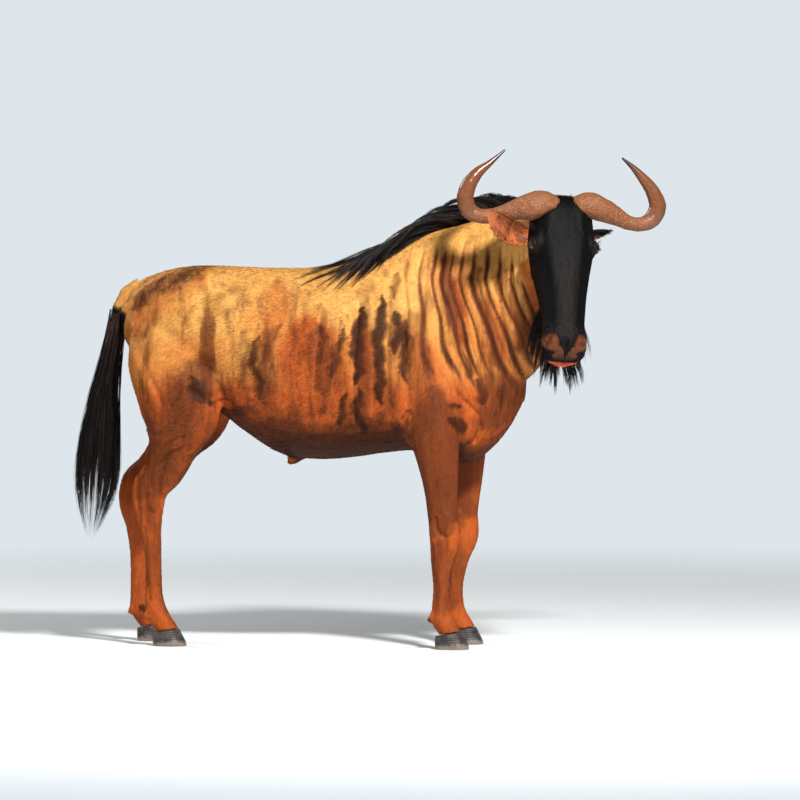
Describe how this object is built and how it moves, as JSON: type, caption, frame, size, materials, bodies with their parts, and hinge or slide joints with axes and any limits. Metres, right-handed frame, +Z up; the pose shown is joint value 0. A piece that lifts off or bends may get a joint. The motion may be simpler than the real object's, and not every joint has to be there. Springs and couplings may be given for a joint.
{
  "type": "wildebeest",
  "caption": "Life-size standing wildebeest bull with its head turned to its right, upswept curved horns, long dark tail, mane and beard.",
  "frame": {"origin": "on the floor under the middle of the whole animal's box", "axes": "+X the way the body faces, +Y its left side, +Z up; the head is turned to its right, toward -Y"},
  "size_m": [1.9676, 0.6262, 1.5996],
  "materials": {
    "hide": "short sleek coat",
    "face": "short dark coat",
    "hair": "long coarse hair",
    "horn": "rough boss, smooth tips",
    "hoof": "satin",
    "eye": "wet gloss"
  },
  "bodies": {
    "root": {"torso": "hide", "neck": "hide", "head": "face", "ear_right": "hide", "ear_left": "hide", "horn_right": "horn", "horn_left": "horn", "eye_right": "eye", "eye_left": "eye", "leg_fore_right": "hide", "leg_fore_left": "hide", "leg_hind_right": "hide", "leg_hind_left": "hide", "hoof_fore_right": "hoof", "hoof_fore_left": "hoof", "hoof_hind_right": "hoof", "hoof_hind_left": "hoof", "mane": "hair", "beard": "hair", "tail": "hair"}
  },
  "joints": []
}
